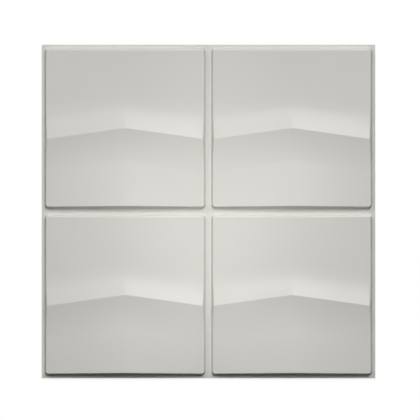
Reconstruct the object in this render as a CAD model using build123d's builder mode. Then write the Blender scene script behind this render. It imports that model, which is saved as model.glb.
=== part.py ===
"""Embossed wall panel: one thin plastic sheet pressed into a grid of raised square fields.

The sheet lies on its back. The wall side is the plane Z = 0, the face looks along +Z, and +Y points to the edge
that is uppermost on the wall. Between the fields the sheet stays flat, as a rim and a cross of channels, and
these flats are what is glued to the wall. Behind each field the panel is hollow.
"""

import os
from math import cos, radians, tan

from build123d import *

# Sheet and grid, in millimetres
PANEL_SIDE = 500.0
FIELDS_PER_SIDE = 2
SHEET_THICKNESS = 1.0
CHANNEL_WIDTH = 8.6

# Raised field: its walls, and its outline where it leaves the channel
FIELD_HEIGHT = 8.0
WALL_DRAFT = 19.0
FOOT_CORNER_RADIUS = 6.0

# Relief of a field's face, measured from FIELD_HEIGHT
EDGE_BOW = 3.2
RIDGE_RISE = 3.4
RIDGE_DROP = 17.5
FLARE_WIDTH = 48.0

# Rounding of the folds on the face side, and the bevel at the mouths of the hollows on the wall side
RIDGE_RADIUS = 4.0
FRONT_FOLD_RADIUS = 1.5
FOOT_FOLD_RADIUS = 1.0
MOUTH_BEVEL = 1.0

# Sizes that follow from these
FIELD_PITCH = PANEL_SIDE / FIELDS_PER_SIDE
HALF_PITCH = FIELD_PITCH / 2
FOOT_SIDE = FIELD_PITCH - CHANNEL_WIDTH
HIGHEST = FIELD_HEIGHT + max(EDGE_BOW, RIDGE_RISE)
DRAFT = radians(WALL_DRAFT)


def raised_field(inset, fold_radius=0):
    """One field as a solid block, its skin the given depth inside the face of the sheet."""
    level = FIELD_HEIGHT - inset
    foot_change = inset * (tan(DRAFT) - 1 / cos(DRAFT))
    foot_side = FOOT_SIDE + 2 * foot_change

    with BuildPart() as half_field:
        # The face runs straight between its section on the centre line and its section at the side
        for x, bow, ridge in ((0, EDGE_BOW, 0), (HALF_PITCH, 0, -RIDGE_DROP)):
            with BuildSketch(Plane.YZ.offset(x)) as section:
                with BuildLine():
                    crest = (ridge, level + RIDGE_RISE)
                    upper = Line((HALF_PITCH, level + bow), (ridge + FLARE_WIDTH, level))
                    lower = Line((-HALF_PITCH, level + bow), (ridge - FLARE_WIDTH, level))
                    TangentArc(upper @ 1, crest, tangent=upper % 1)
                    TangentArc(lower @ 1, crest, tangent=lower % 1)
                    Polyline(upper @ 0, (HALF_PITCH, 0), (-HALF_PITCH, 0), lower @ 0)
                make_face()
                fillet(section.vertices().sort_by_distance(crest)[0], RIDGE_RADIUS - inset)
        loft(ruled=True)

        # The tapering walls cut the face to a rounded square
        with BuildSketch(Plane.XY.offset(SHEET_THICKNESS - inset)):
            RectangleRounded(foot_side, foot_side, FOOT_CORNER_RADIUS + foot_change)
        extrude(amount=HIGHEST, taper=WALL_DRAFT, mode=Mode.INTERSECT)

        # The fold between the face and the walls
        if fold_radius:
            steepness = lambda face: face.normal_at(face.center()).Z
            face_edges = half_field.faces().filter_by(lambda face: steepness(face) > 0.7).edges()
            wall_edges = half_field.faces().filter_by(lambda face: 0.01 < steepness(face) < 0.7).edges()
            fillet([edge for edge in face_edges if edge in wall_edges], fold_radius)

    with BuildPart() as field:
        add(half_field.part)
        mirror(about=Plane.YZ)
    return field.part


def inner_edges(part, height):
    """Edges of a part that lie at one height, without those of the panel's outline."""
    at_height = part.edges().filter_by_position(Axis.Z, height, height)
    return [edge for edge in at_height if max(abs(edge.center().X), abs(edge.center().Y)) < PANEL_SIDE / 2]


field_places = GridLocations(FIELD_PITCH, FIELD_PITCH, FIELDS_PER_SIDE, FIELDS_PER_SIDE)

with BuildPart() as wall_panel:
    with BuildSketch():
        Rectangle(PANEL_SIDE, PANEL_SIDE)
    extrude(amount=SHEET_THICKNESS)

    # Face side: the fields stand on the sheet
    with field_places:
        add(raised_field(0, FRONT_FOLD_RADIUS))
    fillet(inner_edges(wall_panel, SHEET_THICKNESS), FOOT_FOLD_RADIUS)

    # Wall side: the same fields, one sheet thickness further in and with sharp folds, leave it hollow
    with field_places:
        add(raised_field(SHEET_THICKNESS), mode=Mode.SUBTRACT)
    chamfer(inner_edges(wall_panel, 0), MOUTH_BEVEL)

wall_panel.part.label = "wall_panel"

os.makedirs("parts", exist_ok=True)
export_step(wall_panel.part, "parts/wall_panel.step")
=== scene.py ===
# %% [markdown]
# # A wall panel in satin plastic
# The panel is one thin sheet of plastic, pressed while hot into four raised squares with a bent ridge across each.
# Its shape arrives ready made from the CAD frame, with every wall and fold in it, so nothing is modelled twice
# here. This lesson gives the sheet its finish, lays it on a white floor, lights it and looks down on it.

# %% Load the panel
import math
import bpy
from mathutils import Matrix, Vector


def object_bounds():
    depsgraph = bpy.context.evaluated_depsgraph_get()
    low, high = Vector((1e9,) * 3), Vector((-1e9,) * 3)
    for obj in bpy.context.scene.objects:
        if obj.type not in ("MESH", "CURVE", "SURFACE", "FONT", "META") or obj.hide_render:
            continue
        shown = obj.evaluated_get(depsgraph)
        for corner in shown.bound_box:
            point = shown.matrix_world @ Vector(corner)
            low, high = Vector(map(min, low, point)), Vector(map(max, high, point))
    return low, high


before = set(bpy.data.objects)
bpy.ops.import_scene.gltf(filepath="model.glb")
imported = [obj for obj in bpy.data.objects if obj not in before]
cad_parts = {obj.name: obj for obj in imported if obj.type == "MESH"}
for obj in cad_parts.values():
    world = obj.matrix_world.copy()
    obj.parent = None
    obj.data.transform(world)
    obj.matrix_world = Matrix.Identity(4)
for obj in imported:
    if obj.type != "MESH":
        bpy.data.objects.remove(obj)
cad_low, cad_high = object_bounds()

# %% [markdown]
# ## Measuring the sheet
# The finish changes from zone to zone: the faces of the fields, their drawn walls, the sawn outline and the back.
# All of these follow from a few sizes. The overall ones are read from the frame, and only the two that a box can't
# tell are written down: the width of a channel, and how far a wall with its fold spreads when seen from above.

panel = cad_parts["wall_panel"]
PANEL_SIDE = cad_high.x - cad_low.x
FIELDS_PER_SIDE = 2
CHANNEL_WIDTH = 0.0086
WALL_SPREAD = 0.0052

FIELD_PITCH = PANEL_SIDE / FIELDS_PER_SIDE
FOOT_REACH = (FIELD_PITCH - CHANNEL_WIDTH) / 2
FRONT_REACH = FOOT_REACH - WALL_SPREAD
print(f"panel {PANEL_SIDE:.3f} m a side, fields {FIELD_PITCH:.3f} m apart, {len(panel.data.polygons)} faces")

# %% [markdown]
# ## Writing a finish as sums
# A material in Blender is a net of nodes, and a net of Math nodes is hard to read. A small class can wrap one output
# socket, so that plain Python sums build the nodes: `1 - mask` adds a Subtract node and gives its output back.
# Every other kind of node comes from one method, which sets the node up first and fills its sockets after.

# %% A value that can be reckoned with
class Value:
    """One output of a material's nodes. Arithmetic on it adds Math nodes to the same material."""

    def __init__(self, tree, socket=None):
        self.tree = tree
        self.socket = socket

    def node(self, kind, settings=None, sockets=None, give=0):
        """Adds any node: its settings first, then a number, colour or link for each named socket."""
        made = self.tree.nodes.new(kind)
        for name, setting in (settings or {}).items():
            setattr(made, name, setting)
        for name, content in (sockets or {}).items():
            if isinstance(content, Value):
                self.tree.links.new(content.socket, made.inputs[name])
            else:
                made.inputs[name].default_value = content
        return Value(self.tree, made.outputs[give])

    def beside(self, name):
        """Another output of the node that this value comes from."""
        return Value(self.tree, self.socket.node.outputs[name])

    def feed(self, socket):
        """Links this value into a socket of a node that is already there."""
        self.tree.links.new(self.socket, socket)

    def math(self, operation, *numbers):
        """Adds a Math node of the given kind."""
        return self.node("ShaderNodeMath", {"operation": operation}, dict(enumerate(numbers)))

    def __add__(self, other):
        return self.math("ADD", self, other)

    def __sub__(self, other):
        return self.math("SUBTRACT", self, other)

    def __rsub__(self, other):
        return self.math("SUBTRACT", other, self)

    def __mul__(self, other):
        return self.math("MULTIPLY", self, other)

    def __abs__(self):
        return self.math("ABSOLUTE", self)

    __radd__ = __add__
    __rmul__ = __mul__

    def larger(self, other):
        """The larger of two values."""
        return self.math("MAXIMUM", self, other)

    def rise(self, start, end):
        """0 up to start, 1 from end on, with a soft step between them."""
        limits = {"Value": self, "From Min": start, "From Max": end}
        return self.node("ShaderNodeMapRange", {"interpolation_type": "SMOOTHSTEP"}, limits)


# %% [markdown]
# ## Where the zones lie
# The panel could carry painted masks, but sums on its own coordinates stay sharp at any distance. Folding x and y
# about the middle of a field turns all four fields into one quarter, and the larger of the two folded distances says
# how far out a point is: on the face, then on the wall, then in the channel. The outline is where x or y is largest,
# and the normal tells the back from the front.

# %% How far out a point is
finish = bpy.data.materials.new("satin_off_white_plastic")
finish.use_nodes = True
plastic = finish.node_tree.nodes["Principled BSDF"]
sheet = Value(finish.node_tree)

place = sheet.node("ShaderNodeTexCoord", give="Object")
x = sheet.node("ShaderNodeSeparateXYZ", sockets={"Vector": place}, give="X")
y = x.beside("Y")
across = abs(abs(x) - FIELD_PITCH / 2)
along = abs(abs(y) - FIELD_PITCH / 2)
reach = across.larger(along)
outermost = abs(x).larger(abs(y))

# %% Masks for the zones
SOFT_EDGE = 0.0006
CUT_DEPTH = 0.0002
TURNED_DOWN = -0.2

drawn = reach.rise(FRONT_REACH - SOFT_EDGE, FRONT_REACH + SOFT_EDGE)
channel = reach.rise(FOOT_REACH - SOFT_EDGE, FOOT_REACH + SOFT_EDGE)
wall = drawn - channel
sawn = outermost.rise(PANEL_SIDE / 2 - CUT_DEPTH, PANEL_SIDE / 2 - CUT_DEPTH / 2)

normal = sheet.node("ShaderNodeNewGeometry", give="True Normal")
facing = sheet.node("ShaderNodeSeparateXYZ", sockets={"Vector": normal}, give="Z")
back = 1 - facing.rise(TURNED_DOWN, 0)
print(f"walls lie between {FRONT_REACH * 1000:.1f} and {FOOT_REACH * 1000:.1f} mm from a field's middle")

# %% [markdown]
# ## Colour of the plastic
# The sheet is coloured right through, a warm off-white. Real stock is never quite even: the pigment drifts in broad
# clouds, and at arm's length there is a fine fleck. Two noises do this with small shares, because a clean new panel
# must still read as one colour. The hidden back is a trace greyer, and the sawn outline a trace paler.

# %% Helpers for colour and noise
def mixed(share, first, second):
    """A colour between two others, by a share from 0 to 1."""
    sides = {0: share, 6: first, 7: second}
    return sheet.node("ShaderNodeMix", {"data_type": "RGBA"}, sides, give=2)


def noise(per_metre, detail, where=place):
    """Cloudy values round a half, with the given number of clouds to the metre."""
    texture = {"Vector": where, "Scale": per_metre, "Detail": detail}
    return sheet.node("ShaderNodeTexNoise", sockets=texture, give="Fac")


# %% Off-white with clouds and fleck
OFF_WHITE = (0.630, 0.622, 0.585, 1)
SHADED_WHITE = (0.612, 0.605, 0.572, 1)
SAWN_WHITE = (0.656, 0.652, 0.627, 1)
CLOUDS_PER_METRE = 14
FLECKS_PER_METRE = 900
CLOUD_SHARE = 0.35
FLECK_SHARE = 0.2
BACK_SHARE = 0.45

clouds = noise(CLOUDS_PER_METRE, detail=2).rise(0.3, 0.7)
fleck = noise(FLECKS_PER_METRE, detail=3).rise(0.35, 0.65)
shaded = CLOUD_SHARE * clouds + FLECK_SHARE * fleck + BACK_SHARE * back
colour = mixed(shaded, OFF_WHITE, SHADED_WHITE)
mixed(sawn, colour, SAWN_WHITE).feed(plastic.inputs["Base Color"])
print(f"off-white {OFF_WHITE[:3]}, shaded to {SHADED_WHITE[:3]}")

# %% [markdown]
# ## Sheen of the surface
# The face has a satin skin: lamps show in it as soft glows, never as shapes. Where the hot sheet was drawn down into
# a wall it stretched, and stretched plastic loses some of its shine. The back lay against no polished tool and is
# duller too, and so is the sawn edge. All of it goes into Roughness alone.

# %% Roughness by zone
FACE_ROUGHNESS = 0.18
WORN_PER_METRE = 40
WORN_SPREAD = 0.04
WALL_DULLER = 0.15
BACK_DULLER = 0.20
SAWN_DULLER = 0.25

worn = noise(WORN_PER_METRE, detail=4) - 0.5
duller = WALL_DULLER * wall + BACK_DULLER * back + SAWN_DULLER * sawn
rough = FACE_ROUGHNESS + WORN_SPREAD * worn + duller
rough.feed(plastic.inputs["Roughness"])
print(f"roughness {FACE_ROUGHNESS} on the faces, {FACE_ROUGHNESS + WALL_DULLER:.2f} on the walls")

# %% [markdown]
# ## Grain of the skin
# Under a glass the satin skin is a fine pebble, a few thousandths of a millimetre deep. That is far too small for
# the mesh, and is what a Bump node is for. The saw leaves upright strokes on the outline, a tenth of a millimetre deep
# at most, which come from a noise that is stretched along the height.

# %% Pebble and saw strokes
GRAIN_DEPTH = 0.000002
PEBBLES_PER_METRE = 1600
STROKE_DEPTH = 0.0001
STROKES_PER_METRE = 1800
STROKE_STRETCH = (1, 1, 0.05)
BUMP_STRENGTH = 0.4

pebble = noise(PEBBLES_PER_METRE, detail=2)
stretched = sheet.node("ShaderNodeVectorMath", {"operation": "MULTIPLY"}, {0: place, 1: STROKE_STRETCH})
strokes = noise(STROKES_PER_METRE, detail=2, where=stretched)
height = GRAIN_DEPTH * pebble * (1 - sawn) + STROKE_DEPTH * strokes * sawn
bump = {"Height": height, "Distance": 1, "Strength": BUMP_STRENGTH}
sheet.node("ShaderNodeBump", sockets=bump, give="Normal").feed(plastic.inputs["Normal"])

panel.data.materials.clear()
panel.data.materials.append(finish)
print(f"finish {finish.name} has {len(finish.node_tree.nodes)} nodes")

# %% [markdown]
# ## The floor
# The panel lies on its back on a plain white floor. One flat square is enough for it, a hair below the panel so that
# the two never share a plane. It is wide, so that its edges stay out of sight from every side.

# %% A wide square under the panel
FLOOR_SIDE = 30.0
FLOOR_DROP = 0.0004

corner = FLOOR_SIDE / 2
corners = [(-corner, -corner, 0), (corner, -corner, 0), (corner, corner, 0), (-corner, corner, 0)]
floor_mesh = bpy.data.meshes.new("floor")
floor_mesh.from_pydata(corners, [], [(0, 1, 2, 3)])
floor = bpy.data.objects.new("floor", floor_mesh)
floor.location.z = cad_low.z - FLOOR_DROP
bpy.context.scene.collection.objects.link(floor)
print(f"floor {FLOOR_SIDE:.0f} m a side, {FLOOR_DROP * 1000:.1f} mm under the panel")

# %% [markdown]
# A floor that is simply painted white would throw light back up into the shaded walls. So it shows white only where it
# is seen, directly or as a reflection, which the Light Path node tells, and is dark to every other ray. Part of what
# is seen is still lit by the lamps, and that part keeps the panel's shadow.

# %% White where it is seen
FLOOR_GLOW = 0.86
FLOOR_LIT = 0.20
FLOOR_UNSEEN = 0.05


def seen_ray(value):
    """1 on rays that show the background: straight from the camera, mirrored, or through something clear."""
    camera_ray = value.node("ShaderNodeLightPath", give="Is Camera Ray")
    mirrored = camera_ray.larger(camera_ray.beside("Is Glossy Ray"))
    return mirrored.larger(camera_ray.beside("Is Transmission Ray"))


def matt(value, level):
    """A matt grey of the given level."""
    return value.node("ShaderNodeBsdfDiffuse", sockets={"Color": (level, level, level, 1)})


paper = bpy.data.materials.new("white_floor")
paper.use_nodes = True
paper.node_tree.nodes.remove(paper.node_tree.nodes["Principled BSDF"])
ground = Value(paper.node_tree)

glow = ground.node("ShaderNodeEmission", sockets={"Color": (1, 1, 1, 1), "Strength": FLOOR_GLOW})
shown = ground.node("ShaderNodeAddShader", sockets={0: glow, 1: matt(ground, FLOOR_LIT)})
sides = {0: seen_ray(ground), 1: matt(ground, FLOOR_UNSEEN), 2: shown}
surface = ground.node("ShaderNodeMixShader", sockets=sides)
surface.feed(paper.node_tree.nodes["Material Output"].inputs["Surface"])
floor_mesh.materials.append(paper)
print(f"floor finish {paper.name} has {len(paper.node_tree.nodes)} nodes")

# %% [markdown]
# ## Light
# Relief as low as this shows only in light that comes from one side. Three wide lamps stand round the panel's upper
# edge, the strongest of them a little to the right, so every fold that faces them turns bright and every fold that
# faces away turns dark, with soft edges to the shadows.

# %% Wide lamps round the upper edge
PANEL_MIDDLE = Vector((0, 0, 0))
STAND_DISTANCE = 6.0
STAND_WIDTH = 3.0
# Bearing in degrees from the upper edge to the right, tilt in degrees from straight up, and watts
STANDS = {
    "main_lamp": (20, 38, 258),
    "left_lamp": (-45, 60, 127),
    "right_lamp": (60, 72, 18.6),
}


def lamp(name, spot, width, watts):
    """A round flat lamp that points at the middle of the panel."""
    light = bpy.data.lights.new(name, "AREA")
    light.shape = "DISK"
    light.size = width
    light.energy = watts
    stand = bpy.data.objects.new(name, light)
    stand.location = spot
    stand.rotation_euler = (PANEL_MIDDLE - spot).to_track_quat("-Z", "Y").to_euler()
    bpy.context.scene.collection.objects.link(stand)
    return stand


for name, (bearing, tilt, watts) in STANDS.items():
    turn, lean = math.radians(bearing), math.radians(tilt)
    way = Vector((math.sin(turn) * math.sin(lean), math.cos(turn) * math.sin(lean), math.cos(lean)))
    lamp(name, way * STAND_DISTANCE, STAND_WIDTH, watts)
print(f"{len(STANDS)} lamps stand {STAND_DISTANCE:.0f} m away")

# %% [markdown]
# Light from so far away is even, but a close lamp is strong below it and fades to all sides. A small one over the
# middle makes the light fall off to the corners. It is kept out of reflections, so that it doesn't show in the satin
# skin as a bright disc.

# %% Small lamp close over the middle
MIDDLE_PLACE = Vector((0, -0.03, 0.20))
MIDDLE_WIDTH = 0.3
MIDDLE_WATTS = 0.1994

middle_lamp = lamp("middle_lamp", MIDDLE_PLACE, MIDDLE_WIDTH, MIDDLE_WATTS)
middle_lamp.visible_glossy = False
print(f"middle lamp {MIDDLE_PLACE.z * 1000:.0f} mm over the floor")

# %% [markdown]
# The satin skin mirrors a little of what is above it. A long skylight, far up and just right of the middle, is caught
# by the right half of each flare and missed by the left half, which leans the other way. That draws the crease in the
# middle of each field as a fine step in brightness.

# %% Skylight for the sheen
SKYLIGHT_PLACE = Vector((1.1, 4.5, 20.0))
SKYLIGHT_WIDTH = 2.0
SKYLIGHT_LENGTH = 5.0
SKYLIGHT_WATTS = 132

skylight = lamp("skylight", SKYLIGHT_PLACE, SKYLIGHT_WIDTH, SKYLIGHT_WATTS)
skylight.data.shape = "RECTANGLE"
skylight.data.size_y = SKYLIGHT_LENGTH

# %% [markdown]
# ## The room and the picture
# Nothing but the lamps lights the panel, so the world is dark to it, and white only where it is seen past the floor.
# The Standard view transform leaves colours as they are written.

# %% World and view
scene = bpy.context.scene
scene.view_settings.view_transform = "Standard"
room = bpy.data.worlds.new("room")
room.use_nodes = True
scene.world = room
backdrop = room.node_tree.nodes["Background"]
backdrop.inputs["Color"].default_value = (1, 1, 1, 1)
seen_ray(Value(room.node_tree)).feed(backdrop.inputs["Strength"])
print(f"world {room.name}, view transform {scene.view_settings.view_transform}")

# %% [markdown]
# ## Camera
# The picture is taken from straight above and from far away, so the panel's sides stay parallel. The lens follows
# from how many pixels wide the panel is in the picture, and the camera steps aside by as much as the panel's middle
# lies off the picture's.

# %% Camera straight above
PICTURE_PIXELS = 420
PANEL_PIXELS = 333.6
PANEL_MIDDLE_PIXELS = (208.45, 211.45)
CAMERA_HEIGHT = 20.0
SENSOR_MM = 36.0

metres_per_pixel = PANEL_SIDE / PANEL_PIXELS
camera_data = bpy.data.cameras.new("camera")
camera_data.sensor_width = SENSOR_MM
camera_data.lens = SENSOR_MM * CAMERA_HEIGHT / (PICTURE_PIXELS * metres_per_pixel)
camera = bpy.data.objects.new("camera", camera_data)
camera.location.x = (PICTURE_PIXELS / 2 - PANEL_MIDDLE_PIXELS[0]) * metres_per_pixel
camera.location.y = (PANEL_MIDDLE_PIXELS[1] - PICTURE_PIXELS / 2) * metres_per_pixel
camera.location.z = CAMERA_HEIGHT
scene.collection.objects.link(camera)
scene.camera = camera
print(f"lens {camera_data.lens:.0f} mm, {metres_per_pixel * 1000:.2f} mm to the pixel")
